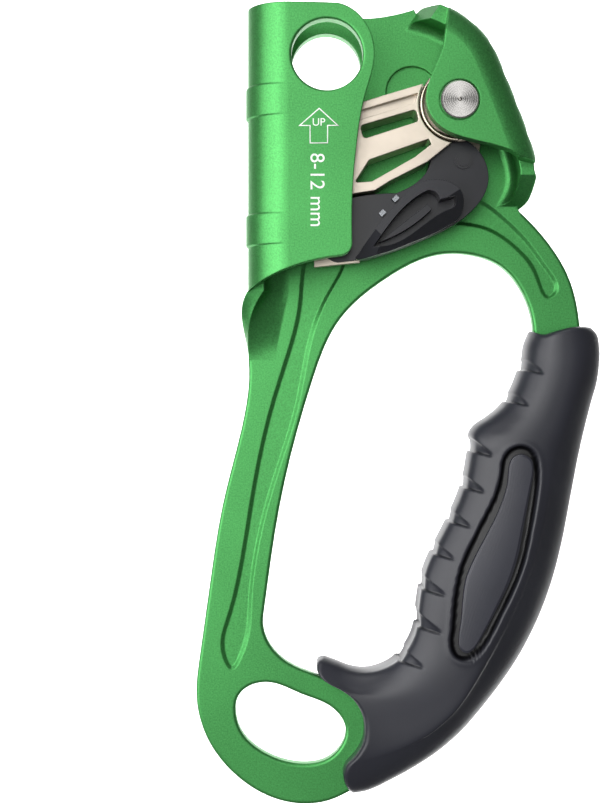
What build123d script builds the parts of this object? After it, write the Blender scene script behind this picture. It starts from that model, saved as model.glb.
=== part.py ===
from build123d import *
import math
import os

# Hand ascender. Millimetres, +Z up, +X to the right, -Y towards the user.
# The origin is on the carabiner hole's axis, in the front face of the back plate.

# Sheet frame
PLATE_T = 4.0             # thickness of the bent sheet
CHANNEL_GAP = 12.0        # clear width of the rope channel
BEND_X = -9.3             # where the flat plate turns into the channel's bend
TOP_Z = 12.4              # top edge of the channel
HOLE_R = 8.6              # carabiner hole
BEND_INNER_R = 2.5        # inside radius of the right flange's bends
GROOVE_DEPTH = 0.7        # pressed stiffening grooves
GROOVE_BEVEL = 0.9        # how far the grooves' walls lean inwards
SCALLOP_DEPTH = 0.6       # finger ripples on the right flange
SCALLOP_R = 7.0
SCALLOP_PITCH = 0.125     # share of the flange's length from one ripple to the next
EDGE_R = 0.7              # softened edges of the sheet
FLARE_TOP = -56.0         # where the channel's bend starts to unroll into the strut
FLARE_END = -73.0
FLARE_BASE_X = -12.9      # where the strut's flat face begins at the flare's lower end
STRUT_X = -19.4           # left edge of the strut below the flare
RIB_HEIGHT = 0.5          # cross ribs raised on the channel's bend
RIB_WIDTH = 8.0
HOLE_EDGE_R = 0.55        # softened front edge of the carabiner hole
RECESS = (21.5, -6.0)     # round pocket in the head plate, behind the cam
RECESS_R = 6.5
RECESS_DEPTH = 1.2

# Cam, its axle and its spring
PIVOT = (31.8, -10.9)     # cam axle, (x, z)
AXLE_R = 4.0
BUSH_WALL = 1.0
RUN_CLEAR = 0.05          # running clearance on a radius
SIDE_CLEAR = 0.3          # clearance between faces that pass each other
HEAD_LIP = 0.6            # how far the rivet's ends stand out over its shank
HEAD_H = 1.2
HEAD_SUNK = 0.6           # how far the rivet's head is let into the ear
HEAD_GAP = 0.3            # ring left open round the head
WASHER_T = 0.6
BOSS_WALL = 2.35          # metal round the cam's bush
CAM_RIB = 2.0             # how far the cam's ribs stand over its web
TOOTH_R = 0.85
TOOTH_H = 1.3
WIRE_R = 0.55             # cam spring wire
SPRING_SEAT = 3.3         # depth of the groove round the cam's boss for the spring
TOOTH_ROW = 2.4           # from one row of teeth to the next
SPRING_GAP = 0.04         # between neighbouring turns

# Trigger
TRIGGER_PIN = (33.4, -24.4)
TRIGGER_PIN_R = 1.5
TRIGGER_T = 5.2           # thickness of the moulded body
LEVER_FRONT = -15.6       # front face of the lever
TRIGGER_WIRE_R = 0.3
STUDS = [(13.6, -37.4), (16.8, -33.9)]
CATCH_T = 2.2             # width of the catch tip
CLIP_T = 0.25             # trigger pin's retaining clip

# Grip
GRIP_HALF = 11.5          # half the grip's thickness about the sheet's middle
GRIP_EDGE_R = 5.0
CORE_T = 6.0              # thickness of each hard half shell
PANEL_PROUD = 0.3
MOAT = 1.2                # gap round the inset panels
SCREWS = [(46.5, -108.0), (38.5, -132.0)]
SCREW_R = 2.0
SCREW_HEAD_R = 3.6
NUT_AF = 7.0
NUT_T = 3.2

BACK = PLATE_T
INNER_FRONT = -CHANNEL_GAP
FRONT = -(CHANNEL_GAP + PLATE_T)
BEND_R = CHANNEL_GAP / 2 + PLATE_T
MID_Y = -CHANNEL_GAP / 2
PLATE_MID = PLATE_T / 2
BUSH_R = AXLE_R + RUN_CLEAR + BUSH_WALL
CAM_BOSS_R = BUSH_R + BOSS_WALL
HEAD_R = AXLE_R + HEAD_LIP
CAM_FRONT = INNER_FRONT + WASHER_T + SIDE_CLEAR
CAM_BACK = -(WASHER_T + SIDE_CLEAR)
ARM_T = 2.1               # the cam's rear cheek that carries the trigger pin
CHEEK_STEP = 0.6          # how far the cam's lever lies in front of its cheek's back
BODY_BACK = CAM_BACK - ARM_T - SIDE_CLEAR
BODY_FRONT = BODY_BACK - TRIGGER_T
CLIP_BACK = BODY_FRONT - 0.15
HEAD_BACK = -CORE_T + 2.6     # underside of the grip screws' heads
NUT_REAR = BACK + CORE_T - 0.4
WEB_FRONT = CAM_FRONT + CAM_RIB
SPRING_R = CAM_BOSS_R + 1.3   # mean radius of the cam spring


def slab(face, y_back, y_front):
    """An outline in X and Z, made solid between two depths."""
    placed = Plane.XZ.offset(-y_back) * face
    return extrude(placed, amount=y_back - y_front, dir=(0, -1, 0))


def outline(*runs):
    """A face bounded by runs that share their ends; three points or more make a smooth curve."""
    return make_face([Spline(*run) if len(run) > 2 else Line(*run) for run in runs])


def loop(points):
    """A face inside one smooth closed curve."""
    return make_face(Spline(*points, periodic=True))


def disc(centre, radius):
    return Pos(centre[0], centre[1]) * Circle(radius)


def round_bar(centre, radius, y_back, y_front):
    return slab(disc(centre, radius), y_back, y_front)


def ring(centre, outer, inner, y_back, y_front):
    return round_bar(centre, outer, y_back, y_front) - round_bar(centre, inner, y_back, y_front)


def half_space(point, normal, size=90):
    """A large block whose one face passes through the point, on the side the normal points to."""
    return Plane(origin=point, z_dir=normal) * Pos(0, 0, size / 2) * Box(size, size, size)


def edges_near_y(solid, y):
    """Edges that lie flat at one depth."""
    found = []
    for edge in solid.edges():
        box = edge.bounding_box()
        if abs(box.min.Y - y) < 1e-4 and abs(box.max.Y - y) < 1e-4:
            found.append(edge)
    return found


# ---------------------------------------------------------------- sheet frame

OPENING = outline(
    [(51.9, -66.1), (51.3, -61.5), (49.1, -55.9), (43.9, -49.6), (36.0, -46.6), (28.0, -46.6),
     (15.4, -52.3), (3.2, -63.2), (-3.3, -77.8), (-11.6, -109.7), (-15.7, -137.2)],
    [(-15.7, -137.2), (-14.5, -143.3), (-10.0, -148.3), (-2.8, -151.6), (7.0, -154.6),
     (17.0, -153.6), (25.0, -147.0), (27.6, -137.0), (29.2, -126.0), (35.0, -113.0),
     (39.6, -100.0), (45.0, -90.0), (51.0, -79.0), (51.9, -66.1)])

EYE = loop([(-22.6, -160.4), (-20.4, -155.3), (-14.5, -153.6), (-6.2, -156.5), (1.2, -159.7),
            (4.9, -165.2), (1.6, -171.9), (-6.8, -173.9), (-16.4, -170.6)])

WALL_POINTS = [(24.0, 14.7), (33.0, 10.8), (40.2, 3.6), (43.0, -2.4), (45.4, -8.3), (49.4, -19.0),
               (51.2, -26.0), (51.0, -31.0), (48.6, -36.6)]


def bare_plate():
    """The flat part of the frame: head, strut, lower loop, arch and the tang inside the grip."""
    plate = slab(outline(
        [(BEND_X, TOP_Z), (BEND_X, FLARE_TOP)],
        [(BEND_X, FLARE_TOP), (FLARE_BASE_X, FLARE_END)],
        [(FLARE_BASE_X, FLARE_END), (STRUT_X, FLARE_END)],
        [(STRUT_X, FLARE_END), (-19.3, -78.0), (-20.8, -88.5), (-25.6, -108.0),
         (-29.2, -129.9), (-31.6, -147.0), (-32.4, -157.5), (-29.6, -167.8), (-21.9, -177.4),
         (-11.1, -183.2), (0.6, -183.2), (11.0, -177.6), (22.0, -170.6), (34.0, -159.6),
         (45.0, -144.0), (53.0, -126.0), (57.3, -108.0), (61.0, -88.0), (63.8, -74.0),
         (63.5, -64.2), (61.2, -53.4), (55.6, -43.6), (48.2, -35.6)],
        [(48.2, -35.6), (22.0, 14.6)],
        [(22.0, 14.6), (17.2, 13.3), (11.0, TOP_Z)],
        [(11.0, TOP_Z), (BEND_X, TOP_Z)]), BACK, 0)
    plate -= slab(OPENING, BACK + 1, -1)
    return plate - slab(EYE, BACK + 1, -1)


def back_plate():
    plate = bare_plate()
    curved = [edge for edge in edges_near_y(plate, 0) + edges_near_y(plate, BACK)
              if edge.geom_type == GeomType.BSPLINE and edge.length > 60]
    return fillet(curved, EDGE_R)


def rope_channel():
    """The left edge, bent forward and round into a channel, with the carabiner hole's front wall."""
    section = disc((BEND_X, MID_Y), BEND_R) - disc((BEND_X, MID_Y), BEND_R - PLATE_T)
    section -= Pos(BEND_X + 30, MID_Y) * Rectangle(60, 60)
    section += Pos(BEND_X + 11, FRONT + PLATE_T / 2) * Rectangle(22, PLATE_T)
    section += Pos(BEND_X + 2, PLATE_T / 2) * Rectangle(4, PLATE_T)
    channel = Pos(0, 0, -68) * extrude(section, amount=68 + TOP_Z + 0.3)
    keep = slab(outline(
        [(-40, 20), (-40, -66)],
        [(-40, -66), (-19.7, -56.6)],
        [(-19.7, -56.6), (-12.7, -52.6), (-4.0, -49.5), (3.6, -48.2)],
        [(3.6, -48.2), (5.6, -46.8), (6.0, -44.6)],
        [(6.0, -44.6), (6.1, -33.0), (7.2, -20.6), (9.1, -9.9), (11.4, 0.5), (8.8, 8.2), (2.6, 12.3)],
        [(2.6, 12.3), (-12.0, 12.6), (-40, 11.6)],
        [(-40, 11.6), (-40, 20)]), 10, -20)
    front = channel & keep
    front = front & (Pos(0, MID_Y - 15, -20) * Box(200, 30, 200))
    rear = channel & (Pos(0, MID_Y + 15, -20) * Box(200, 30, 200))
    rear -= Pos(0, 0, FLARE_TOP - 50) * Box(200, 30, 100)
    channel = front + rear + flare()
    for z in (-10.6, -41.7):
        band = disc((BEND_X - RIB_HEIGHT, MID_Y), BEND_R) - disc((BEND_X, MID_Y), BEND_R - 1)
        band &= Pos(BEND_X - 10, MID_Y) * Rectangle(20, 30)
        rib = Pos(0, 0, z - RIB_WIDTH / 2) * extrude(band, amount=RIB_WIDTH)
        outer = [edge for edge in rib.edges()
                 if edge.geom_type == GeomType.CIRCLE and edge.center().X < BEND_X - BEND_R / 2 - 1.2
                 and abs(edge.radius - BEND_R) < 0.01]
        channel += chamfer(outer, RIB_HEIGHT * 0.8)
    channel -= round_bar((0, 0), HOLE_R, BACK + 1, FRONT - 1)
    rims = [edge for edge in edges_near_y(channel, FRONT)
            if edge.geom_type == GeomType.CIRCLE and abs(edge.radius - HOLE_R) < 0.01]
    return fillet(rims, HOLE_EDGE_R)


def flare():
    """The rear quarter of the bend, unrolling downwards until it lies flat in the strut."""
    sections = []
    stages = ((0, 0.0, 0.0, 1.0), (0.3, 1.7, 0.25, 0.7), (0.6, 1.2, 0.66, 0.28), (0.85, 0.4, 0.93, 0.06),
              (1, 0.0, 1.0, 0.0))
    for share, grow, lift, bow in stages:
        z = FLARE_TOP + (FLARE_END - FLARE_TOP) * share
        base_x = BEND_X + (FLARE_BASE_X - BEND_X) * share
        edge_x = STRUT_X if share == 1 else BEND_X - BEND_R - grow
        edge_y = MID_Y + (PLATE_T - MID_Y) * lift
        outer = (edge_x, edge_y)
        inner = (edge_x + PLATE_T * bow, edge_y - PLATE_T * (1 - bow))
        face = make_face([swept_quarter((base_x, PLATE_T), outer, bow), Line(outer, inner),
                          swept_quarter((base_x, 0), inner, bow), Line((base_x, 0), (base_x, PLATE_T))])
        sections.append(Pos(0, 0, z) * face)
    return loft(sections)


def swept_quarter(start, end, bow):
    """A curve that leaves the start along -X; bow runs from 0, a straight line, to 1, a quarter round."""
    if bow == 1.0:
        return CenterArc((start[0], end[1]), start[1] - end[1], 90, 90)
    pull = 0.5523 * bow + (1 - bow) / 3
    first = (start[0] + (end[0] - start[0]) * pull, start[1] + (end[1] - start[1]) * pull * (1 - bow))
    second = (end[0] - (end[0] - start[0]) * pull * (1 - bow), end[1] + (start[1] - end[1]) * pull)
    return Bezier(start, first, second, end)


def right_flange():
    """The right edge, bent forward into a wall and inward again into the ear that holds the axle."""
    first = WALL_POINTS[0]
    last = WALL_POINTS[-1]
    wall = Spline(*WALL_POINTS)
    sides = [wall, Line(last, (24, last[1])), Line((24, last[1]), (17, 10)), Line((17, 10), first)]
    block = slab(make_face(sides), BACK, FRONT)
    on_wall = [edge for edge in block.edges()
               if edge.geom_type == GeomType.BSPLINE and edge.center().X > 40]
    block = fillet(on_wall, BEND_INNER_R + PLATE_T)
    inner_points = []
    for step in range(9):
        u = step / 8
        inner_points.append(wall.position_at(u) + inward(wall, u) * PLATE_T)
    start = inner_points[0] - wall.tangent_at(0) * 12
    end = inner_points[-1] + wall.tangent_at(1) * 12
    inner = Spline(*([start] + inner_points + [end]))
    hollow = slab(make_face([inner, Line(end, (0, -50)), Line((0, -50), (0, 25)), Line((0, 25), start)]),
                  0, INNER_FRONT)
    bends = [edge for edge in edges_near_y(hollow, 0) + edges_near_y(hollow, INNER_FRONT)
             if edge.geom_type == GeomType.BSPLINE]
    flange = block - fillet(bends, BEND_INNER_R)
    for step in range(6):
        u = 0.2 + step * SCALLOP_PITCH
        spot = wall.position_at(u) - inward(wall, u) * (SCALLOP_R - SCALLOP_DEPTH)
        flange -= round_bar((spot.X, spot.Y), SCALLOP_R, BACK + 1, FRONT - 1)
    ear_edge = outline(
        [(31.0, 20.0), (28.3, 5.0)],
        [(28.3, 5.0), (26.6, -1.5), (24.2, -7.5), (23.8, -11.5), (26.1, -16.3), (34.3, -20.3), (46.5, -24.4)],
        [(46.5, -24.4), (70.0, -30.0)],
        [(70.0, -30.0), (70.0, -60.0)],
        [(70.0, -60.0), (-5.0, -60.0)],
        [(-5.0, -60.0), (-5.0, 20.0)],
        [(-5.0, 20.0), (31.0, 20.0)])
    flange -= slab(ear_edge, INNER_FRONT + BEND_INNER_R, FRONT - 1)
    flange -= half_space((49.0, 0, -34.6), (0, -9.6, -14.0))
    flange -= half_space((50.4, -4.0, -32.6), (12.0, -5.0, -12.0))
    return flange - half_space((23.5, 0, 14.8), (-14.0, -7.4, 9.5))


def inward(curve, u):
    """The unit normal of a flat curve, towards the flange's hollow side."""
    tangent = curve.tangent_at(u)
    return Vector(tangent.Y, -tangent.X, 0)


STRUT_GROOVE = [(0.0, -42.0), (5.0, -46.0), (0.9, -56.7), (-6.5, -83.0), (-14.0, -108.0), (-18.5, -132.9),
                (-20.9, -147.0), (-23.6, -150.4), (-26.0, -146.7), (-25.0, -137.9), (-19.0, -108.0),
                (-12.8, -80.5), (-6.9, -58.7), (-5.0, -46.0)]
ARCH_GROOVE = [(26.0, -33.0), (38.5, -32.8), (45.5, -38.0), (51.0, -43.6), (55.6, -50.0), (57.8, -56.0),
               (55.6, -57.6), (52.6, -53.0), (48.4, -46.4), (40.2, -40.6), (30.0, -38.8), (24.5, -36.0)]


def grooves():
    """Pressed grooves with bevelled walls, one along the strut and one round the arch."""
    cuts = []
    for points in (STRUT_GROOVE, ARCH_GROOVE):
        mouth = Plane.XZ * loop(points)
        floor = Plane.XZ.offset(-GROOVE_DEPTH) * loop(grown(points, -GROOVE_BEVEL))
        cuts.append(loft([mouth, floor]))
    return cuts


def grown(points, distance):
    """The points of a closed curve, taken clockwise, moved outwards."""
    moved = []
    for index, (x, z) in enumerate(points):
        before = points[index - 1]
        after = points[(index + 1) % len(points)]
        along = (after[0] - before[0], after[1] - before[1])
        length = math.hypot(*along)
        moved.append((x - along[1] / length * distance, z + along[0] / length * distance))
    return moved


def frame_plate():
    frame = back_plate() + rope_channel() + right_flange()
    for cut in grooves():
        frame -= cut
    frame -= round_bar(RECESS, RECESS_R, RECESS_DEPTH, -1)
    frame -= round_bar((0, 0), HOLE_R, BACK + 1, MID_Y)
    frame -= round_bar(PIVOT, AXLE_R + RUN_CLEAR, BACK + 1, FRONT - 1)
    frame -= round_bar(PIVOT, HEAD_R + HEAD_GAP, FRONT + HEAD_SUNK, FRONT - 1)
    for spot in SCREWS:
        frame -= round_bar(spot, SCREW_R + RUN_CLEAR, BACK + 1, -1)
    return frame


# ---------------------------------------------------------------- cam, axle and spring

CAM_FACE = [(-2.6, -13.8), (-5.2, -15.8), (-8.6, -20.6), (-11.0, -26.0), (-12.3, -31.0), (-12.6, -34.6)]


def cam():
    """The toothed cam: a cast lever with ribs round two windows, and a rear cheek for the trigger's pin."""
    body = slab(outline(
        [(30.0, -4.2), (9.2, -10.4)],
        [(9.2, -10.4), (-2.6, -13.8)],
        CAM_FACE,
        [(-12.6, -34.6), (-11.4, -37.0), (-8.0, -37.2)],
        [(-8.0, -37.2), (-2.0, -35.0), (6.6, -32.8)],
        [(6.6, -32.8), (11.7, -32.0)],
        [(11.7, -32.0), (13.0, -31.2), (15.0, -29.9)],
        [(15.0, -29.9), (24.4, -25.1)],
        [(24.4, -25.1), (31.0, -19.8)],
        [(31.0, -19.8), (37.0, -14.0)],
        [(37.0, -14.0), (30.0, -4.2)]), CAM_BACK - CHEEK_STEP, CAM_FRONT)
    pocket = outline(
        [(22.2, -8.4), (-2.0, -15.6)],
        [(-2.0, -15.6), (-1.0, -17.6)],
        [(-1.0, -17.6), (21.4, -10.9)],
        [(21.4, -10.9), (22.2, -8.4)])
    body -= slab(pocket, WEB_FRONT, CAM_FRONT - 1)
    upper_window = Polyline((21.7, -12.3), (8.1, -16.3), (8.9, -19.6), (22.4, -15.3), close=True)
    lower_window = Polyline((24.8, -19.5), (10.3, -24.6), (6.7, -30.2), (11.0, -29.9), (21.4, -24.0),
                            (25.5, -20.8), close=True)
    for window, corner in ((upper_window, 0.9), (lower_window, 0.4)):
        face = make_face(window)
        body -= slab(fillet(face.vertices(), corner), 1, CAM_FRONT - 1)
    body -= round_bar(TRIGGER_PIN, 9.2, 1, BODY_FRONT - SIDE_CLEAR)
    body += round_bar(PIVOT, CAM_BOSS_R, CAM_BACK, CAM_FRONT)
    body -= ring(PIVOT, SPRING_R + WIRE_R + 0.35, CAM_BOSS_R - 0.4, CAM_FRONT + SPRING_SEAT, CAM_FRONT - 1)
    cheek = outline(
        [(24.6, -13.0), (29.2, -27.0)],
        [(29.2, -27.0), (33.4, -29.2), (37.6, -26.8)],
        [(37.6, -26.8), (38.8, -12.0)],
        [(38.8, -12.0), (24.6, -13.0)])
    body += slab(cheek, CAM_BACK, CAM_BACK - ARM_T)
    body += round_bar(PIVOT, CAM_BOSS_R, CAM_BACK, CAM_BACK - ARM_T)
    body -= round_bar(PIVOT, BUSH_R, 1, CAM_FRONT - 1)
    body -= round_bar(TRIGGER_PIN, TRIGGER_PIN_R, 1, BODY_BACK - 1)
    nose = Pos(BEND_X - 10, MID_Y) * Rectangle(20, 30) - disc((BEND_X, MID_Y), BEND_R - PLATE_T - SIDE_CLEAR)
    body -= Pos(0, 0, -60) * extrude(nose, amount=80)
    return body + teeth()


def teeth():
    """Three staggered rows of small cones on the cam's face, leaning downwards."""
    face = Spline(*CAM_FACE)
    cones = []
    for row in range(3):
        y = MID_Y + (row - 1) * TOOTH_ROW
        for step in range(8):
            u = 0.1 + (step + 0.5 * (row % 2)) * 0.11
            spot = face.position_at(u)
            normal = inward(face, u)
            base = Vector(spot.X - normal.X * 0.4, y, spot.Y - normal.Y * 0.4)
            lean = Vector(normal.X, 0, normal.Y - 0.3)
            cones.append(Plane(origin=base, z_dir=lean) * Pos(0, 0, TOOTH_H / 2)
                         * Cone(TOOTH_R, 0.12, TOOTH_H))
    return cones


def cam_bush():
    return ring(PIVOT, BUSH_R, AXLE_R + RUN_CLEAR, CAM_BACK, CAM_FRONT)


def cam_axle():
    """A turned rivet: shank, domed front head with a centre dimple, and a short tail."""
    pin = round_bar(PIVOT, AXLE_R, BACK + WASHER_T + HEAD_H, FRONT)
    top = FRONT + HEAD_SUNK - HEAD_H
    head = round_bar(PIVOT, HEAD_R, FRONT + HEAD_SUNK, top)
    head = chamfer(edges_near_y(head, top), 0.3)
    axle = pin + head
    dimple = Plane(origin=(PIVOT[0], top, PIVOT[1]), z_dir=(0, 1, 0)) * Cone(0.9, 0.2, 1.0)
    return axle - dimple


def washer(y_back):
    return ring(PIVOT, CAM_BOSS_R, AXLE_R + RUN_CLEAR, y_back, y_back - WASHER_T)


def axle_tail_ring():
    """The closed ring the rivet's tail is spun into, behind the rear washer."""
    tail = ring(PIVOT, HEAD_R, AXLE_R, BACK + WASHER_T + HEAD_H, BACK + WASHER_T)
    return chamfer([edge for edge in edges_near_y(tail, BACK + WASHER_T + HEAD_H)
                    if edge.radius > AXLE_R + 0.1], 0.4)


def coil(centre, mean_r, wire_r, y_start, turns, pitch):
    """A wire wound round an axis that runs along Y, with both ends cut square."""
    path = Helix(pitch=pitch, height=pitch * turns, radius=mean_r)
    start = Plane(origin=path @ 0, z_dir=path % 0)
    wound = sweep(start * Circle(wire_r), path=path, is_frenet=True)
    return Location((centre[0], y_start, centre[1]), (90, 0, 0)) * wound


def cam_spring():
    pitch = 2 * WIRE_R + SPRING_GAP
    return coil(PIVOT, SPRING_R, WIRE_R, CAM_FRONT + SPRING_SEAT - WIRE_R - 0.2, 1.75, pitch)


# ---------------------------------------------------------------- trigger

def trigger_body():
    """The moulded body that swings on the cam: a rounded lobe and a web running down to the catch."""
    body = slab(outline(
        [(25.4, -24.0), (27.4, -21.2), (30.2, -19.5), (33.2, -19.3), (36.2, -21.0), (38.4, -23.8),
         (39.5, -27.0), (39.5, -30.0), (38.2, -33.4), (35.6, -36.6), (31.6, -39.8), (26.0, -42.6),
         (18.0, -45.9), (10.0, -48.5)],
        [(10.0, -48.5), (2.6, -49.3)],
        [(2.6, -49.3), (-1.4, -46.6), (-2.6, -42.0), (-1.2, -37.2)],
        [(-1.2, -37.2), (3.0, -34.9), (7.0, -33.3)],
        [(7.0, -33.3), (12.0, -32.6), (17.0, -32.4)],
        [(17.0, -32.4), (21.4, -30.2), (24.4, -27.2), (25.4, -24.0)]), BODY_BACK, BODY_FRONT)
    body -= round_bar(TRIGGER_PIN, TRIGGER_PIN_R + RUN_CLEAR, 1, FRONT)
    body -= ring(TRIGGER_PIN, 3.4, TRIGGER_PIN_R + 0.5, 1, BODY_BACK - 1.6)
    for solid in lever_studs() + [catch_tip()]:
        body -= solid
    return body


LEVER = outline(
    [(7.6, -47.6), (12.8, -40.4), (17.7, -34.8), (22.0, -31.0), (26.1, -30.0), (30.0, -30.9), (32.9, -33.8)],
    [(32.9, -33.8), (33.1, -36.4), (31.4, -39.4)],
    [(31.4, -39.4), (27.0, -42.0), (21.3, -44.5), (15.0, -47.0), (8.0, -48.9)],
    [(8.0, -48.9), (7.0, -48.5), (7.6, -47.6)])

LEVER_POCKET = outline(
    [(11.2, -46.0), (15.2, -40.4), (19.6, -35.6), (24.2, -32.6)],
    [(24.2, -32.6), (26.2, -33.2), (27.2, -34.8)],
    [(27.2, -34.8), (30.8, -33.9)],
    [(30.8, -33.9), (31.2, -35.2), (30.4, -36.6)],
    [(30.4, -36.6), (24.0, -40.2), (19.0, -43.8), (11.2, -46.0)])


def trigger_lever():
    """The open lever in front of the body, pulled by the thumb: a sloping rim round a deep pocket."""
    lever = slab(LEVER, BODY_FRONT, LEVER_FRONT)
    lever -= slab(LEVER_POCKET, BODY_FRONT - 1.0, LEVER_FRONT - 1)
    lever -= half_space((7.0, INNER_FRONT + 0.9, -48.0), (-0.42, -1.0, -0.42))
    lever -= half_space((23.0, LEVER_FRONT, -38.0), (0.5, -1.0, -0.8))
    rib = outline(
        [(12.4, -44.9), (24.4, -35.6)],
        [(24.4, -35.6), (25.4, -36.8)],
        [(25.4, -36.8), (18.0, -42.4), (12.4, -44.9)])
    lever += slab(rib, BODY_FRONT - 0.5, LEVER_FRONT + 3.0)
    return lever


def lever_studs():
    """Short steel studs along the lever's inner edge, let into the moulded body."""
    studs = []
    for x, z in STUDS:
        studs.append(Plane(origin=(x, BODY_FRONT - 0.5, z), x_dir=(0.7, 0, 0.7), z_dir=(0, -1, 0))
                     * Box(1.5, 1.1, 2.0))
    return studs


def catch_outline():
    return outline(
        [(-3.0, -47.7), (8.2, -47.7)],
        [(8.2, -47.7), (8.2, -49.2)],
        [(8.2, -49.2), (-3.0, -50.4)],
        [(-3.0, -50.4), (-3.0, -47.7)])


def catch_tip():
    """The steel tip that stops against the frame when the trigger is shut."""
    middle = (BODY_BACK + BODY_FRONT) / 2
    return slab(catch_outline(), middle + CATCH_T / 2, middle - CATCH_T / 2)


def trigger_pin():
    shank = round_bar(TRIGGER_PIN, TRIGGER_PIN_R, CAM_BACK, BODY_FRONT - 0.6)
    groove = ring(TRIGGER_PIN, TRIGGER_PIN_R + 1, TRIGGER_PIN_R - 0.4, CLIP_BACK, CLIP_BACK - CLIP_T)
    return shank - groove


def trigger_pin_clip():
    """The round retaining clip sprung into the pin's groove."""
    return ring(TRIGGER_PIN, TRIGGER_PIN_R + 0.6, TRIGGER_PIN_R - 0.35, CLIP_BACK, CLIP_BACK - CLIP_T)


def trigger_spring():
    pitch = 2 * TRIGGER_WIRE_R + 0.03
    return coil(TRIGGER_PIN, 2.65, TRIGGER_WIRE_R, BODY_BACK - 0.4, 1.25, pitch)


# ---------------------------------------------------------------- grip

GRIP = outline(
    [(51.0, -65.2), (49.3, -72.0), (46.3, -80.4), (42.0, -86.2), (37.2, -90.2), (35.6, -95.0),
     (34.3, -102.0), (30.0, -113.2), (25.4, -122.8), (23.4, -133.0), (22.0, -142.0), (17.6, -148.0),
     (10.7, -150.4), (4.6, -149.4), (0.0, -147.0)],
    [(0.0, -147.0), (-2.4, -148.4), (-2.2, -151.0), (0.6, -153.3), (4.4, -154.9), (7.4, -157.6),
     (9.3, -164.4), (7.4, -170.6), (4.6, -173.6), (4.2, -177.0), (6.2, -181.6)],
    [(6.2, -181.6), (16.6, -177.9), (28.1, -170.9), (38.7, -160.6), (48.6, -146.3), (56.2, -130.2),
     (61.2, -107.3), (65.2, -88.0), (67.9, -78.0), (68.5, -71.0), (66.9, -64.8)],
    [(66.9, -64.8), (51.0, -65.2)])

CORE = loop([(59.0, -82.0), (56.5, -100.0), (52.0, -120.0), (44.6, -137.0), (35.0, -150.5), (27.5, -155.0),
             (26.6, -148.0), (30.0, -134.0), (33.0, -122.0), (38.5, -108.0), (44.0, -94.0), (52.0, -82.0)])

PANEL_POINTS = [(47.0, -96.4), (50.4, -98.6), (49.4, -106.0), (47.2, -117.0), (43.6, -129.0),
                (39.0, -139.0), (34.6, -144.6), (32.2, -142.0), (33.3, -131.0), (36.4, -120.0),
                (41.2, -110.0), (44.2, -100.0)]
PANEL = loop(PANEL_POINTS)


def grip_core(y_back, y_front):
    core = slab(CORE, y_back, y_front)
    for spot in SCREWS:
        core -= round_bar(spot, SCREW_R + RUN_CLEAR, y_back + 1, y_front - 1)
    return core


def grip_core_front():
    core = grip_core(0, -CORE_T)
    for spot in SCREWS:
        core -= round_bar(spot, SCREW_HEAD_R + RUN_CLEAR, HEAD_BACK, -CORE_T - 1)
    return core


def grip_core_rear():
    core = grip_core(BACK + CORE_T, BACK)
    for spot in SCREWS:
        core -= slab(hexagon(spot, RUN_CLEAR), BACK + CORE_T + 1, NUT_REAR - NUT_T)
    return core


def hexagon(spot, clearance=0.0):
    return Pos(*spot) * RegularPolygon((NUT_AF / 2 + clearance), 6, major_radius=False)


def grip_screws():
    screws = []
    for spot in SCREWS:
        screw = round_bar(spot, SCREW_R, NUT_REAR, HEAD_BACK)
        head = round_bar(spot, SCREW_HEAD_R, HEAD_BACK, -CORE_T + 0.4)
        socket = slab(Pos(*spot) * RegularPolygon(1.25, 6, major_radius=False), -CORE_T + 1.8, -CORE_T)
        screws.append(screw + head - socket)
    return screws


def grip_nuts():
    nuts = []
    for spot in SCREWS:
        nut = slab(hexagon(spot), NUT_REAR, NUT_REAR - NUT_T)
        nuts.append(nut - round_bar(spot, SCREW_R, BACK + CORE_T + 1, BACK))
    return nuts


def grip_panel(y_back, y_front):
    return slab(PANEL, y_back, y_front)


def grip_overmould(inside):
    """The soft grip moulded over the half shells and the frame's tang, with a pocket for each panel."""
    front = PLATE_MID - GRIP_HALF
    rear = PLATE_MID + GRIP_HALF
    grip = slab(GRIP, rear, front)
    grip = fillet([edge for edge in edges_near_y(grip, front) + edges_near_y(grip, rear)
                   if edge.length > 60], GRIP_EDGE_R)
    for solid in inside:
        grip -= solid
    moat = loop(grown(PANEL_POINTS, MOAT))
    grip -= slab(moat, 1 - CORE_T, front - 1)
    return grip - slab(moat, rear + 1, BACK + CORE_T - 1)


# ---------------------------------------------------------------- the whole

def build():
    nodes = {}
    nodes["frame_plate"] = frame_plate()
    nodes["cam"] = cam()
    nodes["cam_bush"] = cam_bush()
    nodes["cam_axle"] = cam_axle()
    nodes["axle_front_washer"] = washer(INNER_FRONT + WASHER_T)
    nodes["axle_inner_washer"] = washer(0)
    nodes["axle_rear_washer"] = washer(BACK + WASHER_T)
    nodes["axle_tail_ring"] = axle_tail_ring()
    nodes["cam_spring"] = cam_spring()
    nodes["trigger_body"] = trigger_body()
    nodes["trigger_lever"] = trigger_lever()
    nodes["lever_studs"] = lever_studs()
    nodes["catch_tip"] = catch_tip()
    nodes["trigger_pin"] = trigger_pin()
    nodes["trigger_pin_clip"] = trigger_pin_clip()
    nodes["trigger_spring"] = trigger_spring()
    nodes["grip_core_front"] = grip_core_front()
    nodes["grip_core_rear"] = grip_core_rear()
    nodes["grip_screws"] = grip_screws()
    nodes["grip_nuts"] = grip_nuts()
    front_face = PLATE_MID - GRIP_HALF - PANEL_PROUD
    rear_face = PLATE_MID + GRIP_HALF + PANEL_PROUD
    nodes["grip_front_panel"] = grip_panel(-CORE_T, front_face)
    nodes["grip_rear_panel"] = grip_panel(rear_face, BACK + CORE_T)
    inside = [slab(CORE, BACK + CORE_T, -CORE_T), bare_plate()]
    nodes["grip_overmould"] = grip_overmould(inside)
    return nodes


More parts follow.
